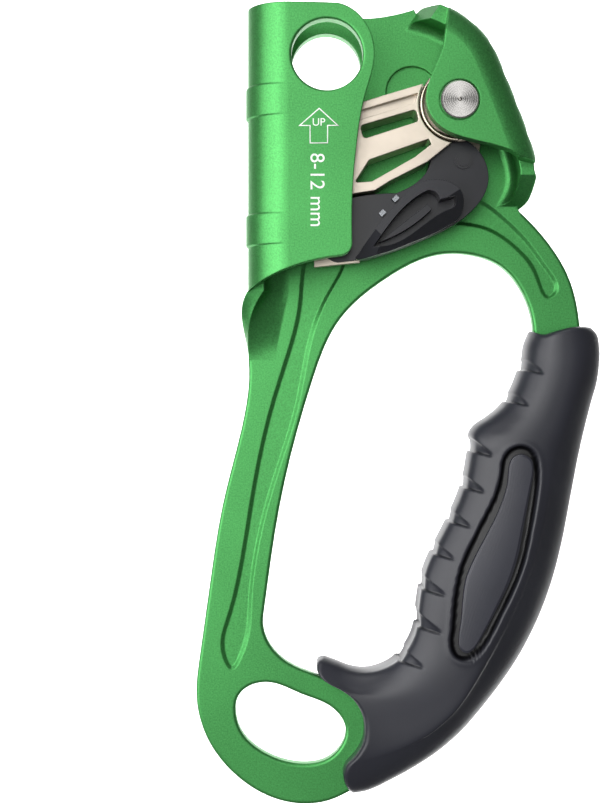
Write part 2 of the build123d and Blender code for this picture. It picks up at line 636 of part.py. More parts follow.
def save(nodes):
    os.makedirs("parts", exist_ok=True)
    for name, shape in nodes.items():
        if isinstance(shape, list):
            solids = shape
        else:
            solids = list(shape.solids())
        whole = solids[0] if len(solids) == 1 else Compound(children=solids)
        export_step(whole, f"parts/{name}.step")


if __name__ == "__main__":
    save(build())
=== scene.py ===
"""Looks for the hand ascender: the CAD frame's finishes, the moulded grip, the printed marks and the
studio."""

import math

import bmesh
import bpy
import numpy as np
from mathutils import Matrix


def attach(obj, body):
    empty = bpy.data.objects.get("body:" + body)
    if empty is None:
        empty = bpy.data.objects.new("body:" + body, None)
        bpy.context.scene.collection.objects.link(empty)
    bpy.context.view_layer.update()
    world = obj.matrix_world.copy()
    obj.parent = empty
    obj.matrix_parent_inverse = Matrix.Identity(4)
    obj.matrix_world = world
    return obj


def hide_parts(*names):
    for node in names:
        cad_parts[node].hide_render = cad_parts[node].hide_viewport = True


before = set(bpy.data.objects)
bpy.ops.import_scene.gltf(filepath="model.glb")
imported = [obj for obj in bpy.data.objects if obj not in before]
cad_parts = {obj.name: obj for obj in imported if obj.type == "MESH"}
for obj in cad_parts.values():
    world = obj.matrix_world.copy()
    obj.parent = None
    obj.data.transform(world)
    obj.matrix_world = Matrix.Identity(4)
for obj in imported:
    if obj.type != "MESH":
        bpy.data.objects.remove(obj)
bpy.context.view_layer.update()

bl_info = {
    "name": "Hand ascender",
    "version": (1, 0, 0),
    "blender": (4, 5, 0),
    "location": "View3D > Sidebar > Ascender",
    "description": "Builds the finishes, grip, marks and studio of a hand ascender",
    "category": "Object",
}

MM = 0.001
MERGE = 1e-6  # points nearer than this, in metres, are one point

# Places on the object, in millimetres.
PLATE_MID = 2.0  # middle of the 4 mm sheet, which the grip is moulded round
WALL_FRONT = -16.0  # front face of the channel's front wall, which carries the printed marks
AXLE = (31.8, -10.9)  # X and Z of the cam's axle
TRIGGER_PIN = (33.4, -24.4)  # X and Z of the pin the trigger swings on

GRIP_LENGTH = 150.0  # along the grip's middle
GRIP_RIM = 1.7  # radius of the rims at the grip's two ends
PRINT_WALL = 0.06  # thickness of the printed marks' mesh
BEVEL_ANGLE = math.radians(38)  # edges sharper than this are rounded
MOULD_FLAT = math.radians(0.5)  # faces that meet at less than this are one flat face

# The grip's outline in X and Z, in millimetres, from its top to its two horns.
INNER_EDGE = [
    (51.0, -65.8), (49.7, -69.2), (49.2, -72.6), (48.0, -76.0), (46.2, -80.4), (43.6, -84.3), (40.4, -87.0),
    (37.2, -89.2), (35.9, -91.2), (36.0, -93.4), (35.4, -96.6), (34.5, -101.8), (32.8, -107.2),
    (30.1, -113.2), (27.4, -118.6), (25.3, -123.2), (24.0, -128.0), (23.4, -133.0), (23.2, -138.0),
    (22.2, -141.8), (20.2, -145.3), (17.4, -148.0), (13.6, -149.7), (10.0, -150.2), (6.0, -149.6),
    (2.4, -148.2), (-0.4, -147.2)]
OUTER_EDGE = [
    (66.2, -65.0), (67.7, -66.8), (68.3, -69.8), (68.3, -73.5), (67.6, -78.8), (66.3, -83.4), (65.0, -88.5),
    (63.2, -96.5), (61.2, -107.0), (58.9, -119.0), (56.3, -128.8), (53.0, -137.6), (48.6, -146.3),
    (44.0, -153.3), (38.8, -160.0), (33.9, -165.6), (28.1, -170.7), (22.3, -174.6), (16.6, -177.8),
    (11.0, -180.5), (7.0, -181.4)]
TOP_EDGE = [
    (51.0, -65.8), (53.4, -66.8), (56.4, -66.0), (60.0, -65.1), (63.4, -64.9), (66.2, -65.0)]
HORN_EDGE = [
    (-0.4, -147.2), (-2.0, -148.2), (-2.3, -149.9), (-1.4, -151.7), (0.6, -153.1), (4.0, -154.8),
    (7.0, -157.3), (8.9, -160.8), (9.4, -164.4), (8.9, -167.6), (7.0, -170.9), (4.9, -173.2), (4.2, -175.4),
    (4.6, -177.8), (5.6, -179.8), (7.0, -181.4)]
MOAT_EDGE = [
    (47.3, -94.2), (44.8, -95.2), (43.2, -97.6), (42.6, -101.5), (41.4, -106.1), (37.6, -113.9),
    (33.4, -122.7), (31.6, -130.0), (30.8, -137.8), (30.4, -143.1), (31.4, -145.6), (33.6, -146.6),
    (37.3, -144.9), (43.4, -134.4), (47.8, -124.4), (50.2, -113.9), (51.9, -101.0), (51.2, -96.8),
    (49.6, -94.8)]
PANEL_EDGE = [
    (47.6, -96.2), (45.7, -97.0), (44.8, -98.8), (44.2, -103.9), (42.2, -110.0), (39.4, -115.7),
    (36.2, -121.8), (34.2, -126.6), (33.4, -131.5), (33.0, -136.5), (32.4, -141.0), (32.6, -143.8),
    (34.2, -144.9), (36.0, -143.9), (39.0, -139.0), (41.6, -134.0), (44.7, -127.7), (46.9, -120.9),
    (48.2, -113.9), (49.8, -105.2), (50.6, -99.9), (50.0, -97.4)]
# Tips of the wedge-shaped finger notches, in X and Z.
NOTCHES = [
    (52.7, -75.9), (49.0, -83.7), (40.3, -96.2), (38.3, -105.1), (34.9, -113.6), (30.9, -121.5),
    (28.7, -130.4), (27.7, -139.7), (23.3, -148.1)]
# Slope of a notch's lower crease, its width at the tip, and how much wider it gets per millimetre.
NOTCH_TILT, NOTCH_MOUTH, NOTCH_SPREAD = 0.26, 0.85, 0.52

# The middle line of the inset panels, as X against Z, and the section from the flat top to the hidden back:
# the share of the way out from that line, and the drop below the panel's face.
SPINE_Z = [-140.5, -124, -112, -100.5]
SPINE_X = [34.6, 40.2, 44.0, 47.4]
PANEL_RIM = np.array([
    (0.915, 0.12), (0.93, 0.14), (0.97, 0.14), (0.985, 0.18), (0.995, 0.3), (1.0, 0.6), (1.0, 1.4),
    (1.0, 3.2), (0.5, 3.2), (0.0, 3.2)])
PANEL_INSET = 0.35  # how far the panel's face lies under the grip's

# The printed arrow's outer and inner outline, in X and Z.
ARROW_OUTER = [
    (-1.9, -12.9), (2.95, -17.3), (0.25, -17.3), (0.25, -21.5), (-4.2, -21.5), (-4.2, -17.3), (-6.9, -17.3)]
ARROW_INNER = [
    (-1.9, -13.28), (2.3, -17.05), (0.0, -17.05), (0.0, -21.25), (-3.95, -21.25), (-3.95, -17.05),
    (-6.25, -17.05)]

# The studio, in metres: each lamp's name, place, size, power in watts and the point it shines at.
LAMPS = [
    ("key", (-0.8, -0.7, 0.05), 1.0, 11.0, (0.02, 0.0, -0.08)),
    ("front", (-0.3, -1.1, 0.1), 0.8, 6.5, (0.02, 0.0, -0.08)),
    ("top", (-0.2, -0.3, 0.9), 0.6, 3.0, (0.02, 0.0, -0.08)),
    ("back", (0.0, 0.35, 0.2), 1.6, 34.0, (0.0, 1.6, 0.0))]
FLOOR_Z, BACKDROP_Y, SWEEP_R, FLOOR_HALF = -0.45, 1.3, 0.5, 3.0
CAMERA_PLACE, CAMERA_LENS, CAMERA_SENSOR = (-0.0065, -0.390, -0.0837), 69.7, 36.0


def linear(colour):
    """sRGB hex, such as "#3d9b52", to linear RGBA."""
    value = np.array([int(colour[i:i + 2], 16) for i in (1, 3, 5)]) / 255
    value = np.where(value <= 0.04045, value / 12.92, ((value + 0.055) / 1.055) ** 2.4)
    return (*value.tolist(), 1.0)


def opaque(rgb):
    """A stored linear colour with an alpha of 1 added."""
    return (rgb[0], rgb[1], rgb[2], 1.0)


# ------------------------------------------------------------------ properties

class AscenderSizes(bpy.types.PropertyGroup):
    grip_half: bpy.props.FloatProperty(
        name="Grip half thickness", description="From the sheet's middle to the grip's widest face",
        default=11.3 * MM, unit="LENGTH", precision=5)
    notch_depth: bpy.props.FloatProperty(
        name="Finger notch depth", description="How deep the wedge-shaped finger notches are cut",
        default=0.8 * MM, unit="LENGTH", precision=5)
    moat_depth: bpy.props.FloatProperty(
        name="Panel groove depth", description="Depth of the groove round the inset panel",
        default=2.2 * MM, unit="LENGTH", precision=5)
    mark_rise: bpy.props.FloatProperty(
        name="Print thickness", description="How far the printed marks stand over the sheet",
        default=0.02 * MM, unit="LENGTH", precision=6)


class AscenderColours(bpy.types.PropertyGroup):
    sheet: bpy.props.FloatVectorProperty(
        name="Anodised sheet", description="Dye colour of the sheet frame", subtype="COLOR", size=3,
        min=0, max=1, default=linear("#47934f")[:3])
    cam: bpy.props.FloatVectorProperty(
        name="Cam plating", description="Colour of the plated cast cam", subtype="COLOR", size=3,
        min=0, max=1, default=linear("#d0c5b6")[:3])
    grip: bpy.props.FloatVectorProperty(
        name="Grip rubber", description="Colour of the moulded grip", subtype="COLOR", size=3,
        min=0, max=1, default=linear("#25262e")[:3])
    trigger: bpy.props.FloatVectorProperty(
        name="Trigger plastic", description="Colour of the moulded trigger", subtype="COLOR", size=3,
        min=0, max=1, default=linear("#1a1b21")[:3])


# ------------------------------------------------------------------ surfaces

def resample(line, ends):
    """Points of a fine flat line at even distances along it; ends are the distances' shares of its
    length."""
    run = np.concatenate([[0], np.cumsum(np.linalg.norm(np.diff(line, axis=0), axis=1))])
    even = run[-1] * ends
    return np.stack([np.interp(even, run, line[:, 0]), np.interp(even, run, line[:, 1])], 1)


def curve(points, count):
    """A centripetal Catmull-Rom curve through the points, resampled to even arc length: each span
    blends four neighbouring points in three rounds, with knots spaced by the square root of the chords."""
    p = np.array(points, float)
    p = np.vstack([2 * p[0] - p[1], p, 2 * p[-1] - p[-2]])
    knots = np.concatenate([[0], np.cumsum(np.linalg.norm(np.diff(p, axis=0), axis=1) ** 0.5)])
    t = np.linspace(knots[1], knots[-2], 3000)
    i = np.clip(np.searchsorted(knots, t, side="right") - 1, 1, len(p) - 3)
    k0, k1, k2, k3 = (knots[i + j][:, None] for j in (-1, 0, 1, 2))
    q0, q1, q2, q3 = (p[i + j] for j in (-1, 0, 1, 2))
    t = t[:, None]
    a1 = (k1 - t) / (k1 - k0) * q0 + (t - k0) / (k1 - k0) * q1
    a2 = (k2 - t) / (k2 - k1) * q1 + (t - k1) / (k2 - k1) * q2
    a3 = (k3 - t) / (k3 - k2) * q2 + (t - k2) / (k3 - k2) * q3
    b1 = (k2 - t) / (k2 - k0) * a1 + (t - k0) / (k2 - k0) * a2
    b2 = (k3 - t) / (k3 - k1) * a2 + (t - k1) / (k3 - k1) * a3
    c = (k2 - t) / (k2 - k1) * b1 + (t - k1) / (k2 - k1) * b2
    return resample(c, np.linspace(0, 1, count))


def closed_curve(points, count):
    """The same curve through a closed ring of points; the last sample isn't the first again."""
    ring = curve(list(points[-3:]) + list(points) + list(points[:4]), 4 * count)
    start = np.argmin(np.linalg.norm(ring[:2 * count] - np.array(points[0]), axis=1))
    tail = start + count
    end = tail + np.argmin(np.linalg.norm(ring[tail:] - np.array(points[0]), axis=1))
    return resample(ring[start:end + 1], np.linspace(0, 1, count + 1)[:-1])


def smooth(value, low, high):
    """0 below low, 1 above high, and a cubic ease between them."""
    t = np.clip((value - low) / (high - low), 0, 1)
    return t * t * (3 - 2 * t)


def inside_distance(points, ring):
    """Distance of flat points from a closed ring's edge: the least over its sides, positive where a ray
    from the point crosses an odd number of them."""
    a, b = ring, np.roll(ring, -1, 0)
    along = b - a
    best = np.full(len(points), 1e9)
    crossings = np.zeros(len(points), int)
    for start, step in zip(a, along):
        rel = points - start
        t = np.clip((rel @ step) / (step @ step), 0, 1)
        best = np.minimum(best, np.linalg.norm(rel - t[:, None] * step, axis=1))
        over = (start[1] > points[:, 1]) != (start[1] + step[1] > points[:, 1])
        if abs(step[1]) > 1e-12:
            crossings += over & (points[:, 0] < start[0] + (points[:, 1] - start[1]) / step[1] * step[0])
    return np.where(crossings % 2 == 1, best, -best)


def grid_faces(rows, columns, wrap):
    """Quads between neighbouring rows and columns; wrap joins the last column to the first."""
    i, j = np.meshgrid(np.arange(rows - 1), np.arange(columns if wrap else columns - 1), indexing="ij")
    k = (j + 1) % columns
    corners = [i * columns + j, i * columns + k, (i + 1) * columns + k, (i + 1) * columns + j]
    return np.stack(corners, -1).reshape(-1, 4)


def shown(name, data):
    """Links a mesh, text, light or camera into the scene as an object at the origin."""
    piece = bpy.data.objects.new(name, data)
    bpy.context.scene.collection.objects.link(piece)
    return piece


def coated(mesh, material):
    """Leaves a mesh with one material."""
    mesh.materials.clear()
    mesh.materials.append(material)


def new_piece(name, points, faces, material, body, rounded=True, painted_shade=None):
    """Puts millimetre points and faces into a mesh object that rides on a body. rounded shades it
    smooth, and the last argument, painted shade per point, is kept as an attribute."""
    mesh = bpy.data.meshes.new(name)
    mesh.vertices.add(len(points))
    mesh.vertices.foreach_set("co", (np.asarray(points, float) * MM).ravel())
    faces = np.asarray(faces)
    mesh.loops.add(faces.size)
    mesh.loops.foreach_set("vertex_index", faces.ravel())
    mesh.polygons.add(len(faces))
    mesh.polygons.foreach_set("loop_start", np.arange(len(faces)) * faces.shape[1])
    # Painted shade per point, kept as an attribute that darkens the material.
    if painted_shade is not None:
        mesh.attributes.new("painted_shade", "FLOAT", "POINT").data.foreach_set("value", painted_shade.ravel())
    mesh.update(calc_edges=True)
    mesh.validate()
    if rounded:
        mesh.shade_smooth()
    coated(mesh, material)
    piece = shown(name, mesh)
    close_up(piece)
    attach(piece, body)
    return piece


def close_up(piece):
    """Merges points that meet at seams and poles, and turns every face outwards."""
    work = bmesh.new()
    work.from_mesh(piece.data)
    bmesh.ops.remove_doubles(work, verts=work.verts, dist=MERGE)
    bmesh.ops.dissolve_degenerate(work, edges=work.edges, dist=MERGE / 10)
    bmesh.ops.recalc_face_normals(work, faces=work.faces)
    work.to_mesh(piece.data)
    work.free()


def grip_patch(u, s):
    """The grip's flat outline as a Coons patch: u runs from the top to the horns, s from the inner to
    the outer edge. Each point blends the two side curves and the two end curves, less the blend of the
    four corners."""
    count = 1200
    inner, outer = curve(INNER_EDGE, count), curve(OUTER_EDGE, count)
    top, horn = curve(TOP_EDGE, count), curve(HORN_EDGE, count)
    at = np.linspace(0, 1, count)

    def pick(line, where):
        return np.stack([np.interp(where, at, line[:, 0]), np.interp(where, at, line[:, 1])], -1)

    uu, ss = u[..., None], s[..., None]
    sides = (1 - ss) * pick(inner, u) + ss * pick(outer, u)
    ends = (1 - uu) * pick(top, s) + uu * pick(horn, s)
    corners = (1 - uu) * ((1 - ss) * inner[0] + ss * outer[0]) + uu * ((1 - ss) * inner[-1] + ss * outer[-1])
    return sides + ends - corners


def notch_cut(flat):
    """Depth of the finger notches and the painted shade along their creases, 0 to 1. From each tip a wedge
    opens towards the inner edge; its floor is deepest along the lower crease and rises to the upper one."""
    cut = np.zeros(flat.shape[:-1])
    crease_shade = np.zeros(flat.shape[:-1])
    for x, z in NOTCHES:
        left = x - flat[..., 0]
        above = flat[..., 1] - z + 0.5 - NOTCH_TILT * left
        width = NOTCH_MOUTH + NOTCH_SPREAD * np.clip(left, 0, 12)
        floor = 0.3 + 0.7 * (1 - np.clip(above / width, 0, 1))
        reach = smooth(left, -0.7, 0.9) * (left < 10)
        across = smooth(above, -0.35, 0.0) * (1 - smooth(above - width, -0.15, 0.2))
        cut = np.maximum(cut, floor * reach * across)
        # Painted shade: a dark line along each notch's lower crease and a fainter one along its upper
        # crease.
        line = np.exp(-(above / 0.24) ** 2) + 0.45 * np.exp(-((above - width) / 0.22) ** 2)
        crease_shade = np.maximum(crease_shade, line * reach)
    return cut, crease_shade


def grip_sections(u, theta):
    """Rounded sections across the patch: s and the rise follow a superellipse of power 2.5, at the
    angle theta round each section. Returns the flat points, u and s at each, and the rise from -1 to 1."""
    power = 2 / 2.5
    c, w = np.cos(theta), np.sin(theta)
    s = 0.5 - 0.5 * np.sign(c) * np.abs(c) ** power
    rise = np.sign(w) * np.abs(w) ** power
    uu, ss = np.meshgrid(u, s, indexing="ij")
    flat = grip_patch(uu, ss)
    return flat, uu, ss, np.broadcast_to(rise, uu.shape)


# ------------------------------------------------------------------ materials

def add(tree, kind, settings=None, links=None):
    """Adds a node, sets its attributes and input values, and links its inputs."""
    made = tree.nodes.new(kind)
    for key, value in (settings or {}).items():
        if isinstance(key, str) and key not in made.inputs:
            setattr(made, key, value)
        else:
            made.inputs[key].default_value = value
    for key, source in (links or {}).items():
        tree.links.new(source, made.inputs[key])
    return made


def start(name):
    """A new material with its Principled shader."""
    material = bpy.data.materials.new(name)
    material.use_nodes = True
    tree = material.node_tree
    return material, tree, tree.nodes["Principled BSDF"]


def shades(tree, source, stops):
    """A colour ramp driven by a value: each stop is (position, linear colour)."""
    ramp = add(tree, "ShaderNodeValToRGB", links={"Fac": source})
    elements = ramp.color_ramp.elements
    while len(elements) < len(stops):
        elements.new(0.5)
    for element, (place, colour) in zip(elements, stops):
        element.position = place
        element.color = colour
    return ramp.outputs["Color"]


def soft_edges(tree, radius, bump):
    """Rounds the sharp edges of a bump's shading by a radius in millimetres, as a worn or moulded edge
    would be."""
    bevel = add(tree, "ShaderNodeBevel", {"samples": 6, "Radius": radius * MM})
    tree.links.new(bevel.outputs["Normal"], bump.inputs["Normal"])


def scaled(colour, factor):
    """A colour made lighter or darker by a factor."""
    return opaque([part * factor for part in colour[:3]])


def relief(tree, shader, strength, depth, height, radius=None):
    """Bumps the shader by a pattern's height, depth millimetres deep; a radius rounds the sharp edges
    too."""
    bump = add(tree, "ShaderNodeBump", {"Strength": strength, "Distance": depth * MM}, {"Height": height})
    if radius:
        soft_edges(tree, radius, bump)
    tree.links.new(bump.outputs["Normal"], shader.inputs["Normal"])


def gloss(tree, shader, low, high, pattern):
    """Sets the roughness between low and high by a pattern."""
    rough = add(tree, "ShaderNodeMapRange", {"To Min": low, "To Max": high}, {"Value": pattern})
    tree.links.new(rough.outputs["Result"], shader.inputs["Roughness"])


def anodised_aluminium(name, colour):
    """Bead-blasted, dyed and sealed sheet: a metal sheen under a fine grain of about 0.4 mm, drawn
    coarse enough to show, with the dye a little uneven over centimetres."""
    material, tree, shader = start(name)
    place = add(tree, "ShaderNodeTexCoord").outputs["Object"]
    grain = add(tree, "ShaderNodeTexNoise", {"Scale": 2500.0, "Detail": 3.0, "Roughness": 0.7},
                {"Vector": place})
    cloud = add(tree, "ShaderNodeTexNoise", {"Scale": 45.0, "Detail": 2.0}, {"Vector": place})
    mixed = add(tree, "ShaderNodeMath", {"operation": "MULTIPLY_ADD", 1: 0.25},
                {0: cloud.outputs["Fac"], 2: grain.outputs["Fac"]})
    tint = shades(tree, mixed.outputs[0],
                  [(0.42, scaled(colour, 0.72)), (0.62, colour), (0.84, scaled(colour, 1.28))])
    tree.links.new(tint, shader.inputs["Base Color"])
    shader.inputs["Metallic"].default_value = 0.82
    gloss(tree, shader, 0.34, 0.50, grain.outputs["Fac"])
    relief(tree, shader, 0.35, 0.06, grain.outputs["Fac"], 0.45)
    return material


def cast_nickel_steel(name, colour):
    """Investment-cast steel with satin nickel plating: warm pale metal with a faint cast skin of about
    0.7 mm."""
    material, tree, shader = start(name)
    place = add(tree, "ShaderNodeTexCoord").outputs["Object"]
    skin = add(tree, "ShaderNodeTexNoise", {"Scale": 1500.0, "Detail": 4.0, "Roughness": 0.6},
               {"Vector": place})
    stain = add(tree, "ShaderNodeTexNoise", {"Scale": 120.0, "Detail": 3.0}, {"Vector": place})
    tint = shades(tree, stain.outputs["Fac"], [(0.3, scaled(colour, 0.86)), (0.7, colour)])
    tree.links.new(tint, shader.inputs["Base Color"])
    shader.inputs["Metallic"].default_value = 0.9
    gloss(tree, shader, 0.30, 0.46, skin.outputs["Fac"])
    relief(tree, shader, 0.25, 0.05, skin.outputs["Fac"], 0.3)
    return material


def moulded_rubber(name, colour, low, high, painted_shade=None):
    """Thermoplastic rubber with a spark-eroded mould finish: a soft sheen, fine matt grain of about 0.3
    mm and faint patches where hands have polished it. Roughness runs from low to high, and the last
    argument names the point attribute of painted shade, which darkens the grooves and creases."""
    material, tree, shader = start(name)
    place = add(tree, "ShaderNodeTexCoord").outputs["Object"]
    grain = add(tree, "ShaderNodeTexNoise", {"Scale": 3200.0, "Detail": 2.0}, {"Vector": place})
    patch = add(tree, "ShaderNodeTexNoise", {"Scale": 60.0, "Detail": 3.0}, {"Vector": place})
    tint = shades(tree, patch.outputs["Fac"], [(0.3, scaled(colour, 0.88)), (0.7, scaled(colour, 1.1))])
    shader.inputs["Specular IOR Level"].default_value = 0.42
    if painted_shade:
        # Painted shade: the attribute mixes the rubber towards a tenth of its colour in the grooves and
        # creases.
        shade_attribute = add(tree, "ShaderNodeAttribute", {"attribute_name": painted_shade}).outputs["Fac"]
        # A colour Mix node takes its factor at input 0 and its colours at 6 and 7, and gives output 2.
        shade_mix = add(tree, "ShaderNodeMix", {"data_type": "RGBA", 7: scaled(colour, 0.1)}, {0: shade_attribute, 6: tint})
        tint = shade_mix.outputs[2]
    tree.links.new(tint, shader.inputs["Base Color"])
    gloss(tree, shader, low, high, patch.outputs["Fac"])
    shader.inputs["IOR"].default_value = 1.52
    relief(tree, shader, 0.12, 0.04, grain.outputs["Fac"])
    return material


def turned_steel(name, colour, centre, rings):
    """Lathe-turned steel: fine rings about a centre, which spread the highlight into a fan. rings is
    the sine's angle per metre, so 9000, 12000 and 18000 draw one every 0.7, 0.52 and 0.35 mm."""
    material, tree, shader = start(name)
    place = add(tree, "ShaderNodeTexCoord").outputs["Object"]
    moved = add(tree, "ShaderNodeMapping",
                {"Location": (-centre[0] * MM, 0, -centre[1] * MM), "Scale": (1, 0, 1)}, {"Vector": place})
    far = add(tree, "ShaderNodeVectorMath", {"operation": "LENGTH"}, {0: moved.outputs["Vector"]})
    wave = add(tree, "ShaderNodeMath", {"operation": "MULTIPLY", 1: rings}, {0: far.outputs["Value"]})
    wave = add(tree, "ShaderNodeMath", {"operation": "SINE"}, {0: wave.outputs[0]})
    scratch = add(tree, "ShaderNodeTexNoise", {"Scale": 900.0, "Detail": 4.0}, {"Vector": place})
    around = add(tree, "ShaderNodeVectorMath", {"operation": "CROSS_PRODUCT", 1: (0, 1, 0)},
                 {0: moved.outputs["Vector"]})
    around = add(tree, "ShaderNodeVectorMath", {"operation": "NORMALIZE"}, {0: around.outputs["Vector"]})
    tree.links.new(around.outputs["Vector"], shader.inputs["Tangent"])
    shader.inputs["Anisotropic"].default_value = 0.85
    shader.inputs["Base Color"].default_value = colour
    shader.inputs["Metallic"].default_value = 1.0
    gloss(tree, shader, 0.16, 0.34, scratch.outputs["Fac"])
    relief(tree, shader, 0.06, 0.02, wave.outputs[0])
    return material


def printed_ink(name):
    """Pad-printed white ink: flat, slightly worn where the grain shows through."""
    material, tree, shader = start(name)
    place = add(tree, "ShaderNodeTexCoord").outputs["Object"]
    wear = add(tree, "ShaderNodeTexNoise", {"Scale": 2200.0, "Detail": 3.0}, {"Vector": place})
    tint = shades(tree, wear.outputs["Fac"], [(0.25, linear("#c9dccb")), (0.45, linear("#f2f4f0"))])
    tree.links.new(tint, shader.inputs["Base Color"])
    shader.inputs["Roughness"].default_value = 0.55
    return material


def edged_copy(node, width, material, body):
    """A merged copy of a CAD node whose sharp edges are rounded by a width in millimetres, in the
    node's place."""
    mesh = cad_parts[node].data.copy()
    mesh.name = node + "_moulding"
    work = bmesh.new()
    work.from_mesh(mesh)
    bmesh.ops.remove_doubles(work, verts=work.verts, dist=MERGE)
    bmesh.ops.dissolve_limit(work, angle_limit=MOULD_FLAT, verts=work.verts, edges=work.edges)
    work.to_mesh(mesh)
    work.free()
    coated(mesh, material)
    piece = shown(mesh.name, mesh)
    bevel = piece.modifiers.new("mould_radius", "BEVEL")
    bevel.width = width * MM
    bevel.segments = 3
    bevel.limit_method = "ANGLE"
    bevel.angle_limit = BEVEL_ANGLE
    bevel.use_clamp_overlap = True
    mesh.shade_flat()
    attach(piece, body)
    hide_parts(node)
    return piece


def settings():
    """The scene's sizes and colours."""
    return bpy.context.scene.ascender_sizes, bpy.context.scene.ascender_colours


def paint(nodes, material):
    """Gives CAD nodes a material."""
    for name in nodes:
        coated(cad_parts[name].data, material)


# ------------------------------------------------------------------ operators

class ASCENDER_OT_sheet(bpy.types.Operator):
    """Gives the bent sheet frame its anodised finish"""
    bl_idname = "ascender.sheet"
    bl_label = "Anodised sheet"

    def execute(self, context):
        paint(["frame_plate"], anodised_aluminium("anodised_aluminium_green", opaque(settings()[1].sheet)))
        return {"FINISHED"}


class ASCENDER_OT_cam(bpy.types.Operator):
    """Gives the cast cam and its catch their plating"""
    bl_idname = "ascender.cam"
    bl_label = "Plated cam"

    def execute(self, context):
        paint(["cam", "catch_tip"], cast_nickel_steel("cast_steel_satin_nickel", opaque(settings()[1].cam)))
        return {"FINISHED"}


class ASCENDER_OT_trigger(bpy.types.Operator):
    """Gives the trigger's body and lever their moulded plastic"""
    bl_idname = "ascender.trigger"
    bl_label = "Moulded trigger"

    def execute(self, context):
        plastic = moulded_rubber("moulded_nylon_black", opaque(settings()[1].trigger), 0.24, 0.36)
        for node, width in (("trigger_body", 0.7), ("trigger_lever", 0.5)):
            edged_copy(node, width, plastic, "trigger")
        return {"FINISHED"}


class ASCENDER_OT_steel(bpy.types.Operator):
    """Gives the axle, washers, pins, springs and fasteners their steels"""
    bl_idname = "ascender.steel"
    bl_label = "Steel parts"

    def execute(self, context):
        paint(["cam_axle", "axle_front_washer", "axle_inner_washer", "axle_rear_washer", "axle_tail_ring"],
              turned_steel("turned_steel_axle", linear("#b4b2af"), AXLE, 12000.0))
        paint(["trigger_pin", "trigger_pin_clip"],
              moulded_rubber("black_oxide_steel", linear("#1b1c20"), 0.3, 0.4))
        paint(["lever_studs", "grip_screws", "grip_nuts"],
              turned_steel("turned_steel_pins", linear("#85888c"), TRIGGER_PIN, 18000.0))
        paint(["cam_spring", "trigger_spring"],
              turned_steel("drawn_spring_wire", linear("#b5ab9c"), AXLE, 9000.0))
        paint(["cam_bush"], turned_steel("sintered_bronze", linear("#a9804a"), AXLE, 9000.0))
        paint(["grip_core_front", "grip_core_rear"],
              moulded_rubber("glass_filled_nylon", linear("#232427"), 0.45, 0.6))
        return {"FINISHED"}


class ASCENDER_OT_grip(bpy.types.Operator):
    """Builds the moulded rubber grip with its finger notches and panel grooves"""
    bl_idname = "ascender.grip"
    bl_label = "Moulded grip"

    def execute(self, context):
        sizes, colours = settings()
        half = sizes.grip_half / MM
        u = np.linspace(0, 1, 400)
        theta = np.linspace(0, 2 * np.pi, 232, endpoint=False)
        flat, uu, ss, rise = grip_sections(u, theta)
        # The thickness loses a quarter circle of GRIP_RIM at both ends, which rounds their rims.
        near = np.minimum(uu, 1 - uu) * GRIP_LENGTH
        ease = np.sqrt(np.clip(1 - (1 - np.clip(near / GRIP_RIM, 0, 1)) ** 2, 0, 1))
        thick = grip_thickness(half, uu) - GRIP_RIM * (1 - ease)
        # The groove lies on the two faces only, with a low raised lip just outside it.
        moat = inside_distance(flat.reshape(-1, 2), closed_curve(MOAT_EDGE, 160)).reshape(uu.shape)
        face = smooth(np.abs(rise), 0.75, 0.9)
        sunk = (sizes.moat_depth / MM) * smooth(moat, -0.3, 0.6) * face
        sunk += -0.12 * np.exp(-((moat + 0.8) / 0.7) ** 2) * face
        y = rise * thick
        cut, crease_shade = notch_cut(flat)
        near_edge = smooth(0.5 - ss, 0.0, 0.1)
        cut = cut * (sizes.notch_depth / MM) * near_edge
        # Painted shade, 0 to 1: darkens the groove round the panel on the two faces and the notches'
        # creases.
        painted_shade_mask = np.maximum(smooth(moat, -0.3, 0.25) * face, 0.75 * crease_shade * near_edge)
        # The notches are cut along the body's own normals, which are turned to point outwards.
        body = np.stack([flat[..., 0], y, flat[..., 1]], -1)
        across = np.roll(body, -1, 1) - np.roll(body, 1, 1)
        along = np.gradient(body, axis=0)
        normal = np.cross(across, along)
        normal /= np.maximum(np.linalg.norm(normal, axis=-1, keepdims=True), 1e-9)
        outward = np.stack([flat[..., 0] - flat[..., 0].mean(1, keepdims=True), y,
                            flat[..., 1] - flat[..., 1].mean(1, keepdims=True)], -1)
        normal *= np.sign((normal * outward).sum(-1).mean())
        body -= normal * cut[..., None]
        body[..., 1] -= np.sign(rise) * sunk
        body[..., 1] += PLATE_MID
        whole = np.concatenate([closing_rows(body[:1], (0.0, 0.5)), body,
                                closing_rows(body[-1:], (0.5, 0.0))])
        painted_shade_mask = np.pad(painted_shade_mask, ((2, 2), (0, 0)))
        faces = grid_faces(whole.shape[0], whole.shape[1], True)
        rubber = moulded_rubber("moulded_rubber_charcoal_painted_shade", opaque(colours.grip), 0.36, 0.46, "painted_shade")
        grip = new_piece("grip_skin", whole.reshape(-1, 3), faces, rubber, "frame",
                         painted_shade=painted_shade_mask)
        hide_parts("grip_overmould")
        return {"FINISHED"}


def closing_rows(row, shares):
    """Copies of an end row, each with its distance from the sheet's middle cut to a share; a share of 0
    shuts it."""
    copies = np.repeat(row, len(shares), 0)
    copies[..., 1] = (row[..., 1] - PLATE_MID) * np.array(shares)[:, None] + PLATE_MID
    return copies


def grip_thickness(half, uu):
    """Half thickness along the grip: full in the hand, a little less towards the top and the horns."""
    return half * (1 - 0.07 * smooth(0.14 - uu, 0, 0.14) - 0.22 * smooth(uu, 0.74, 1.0))


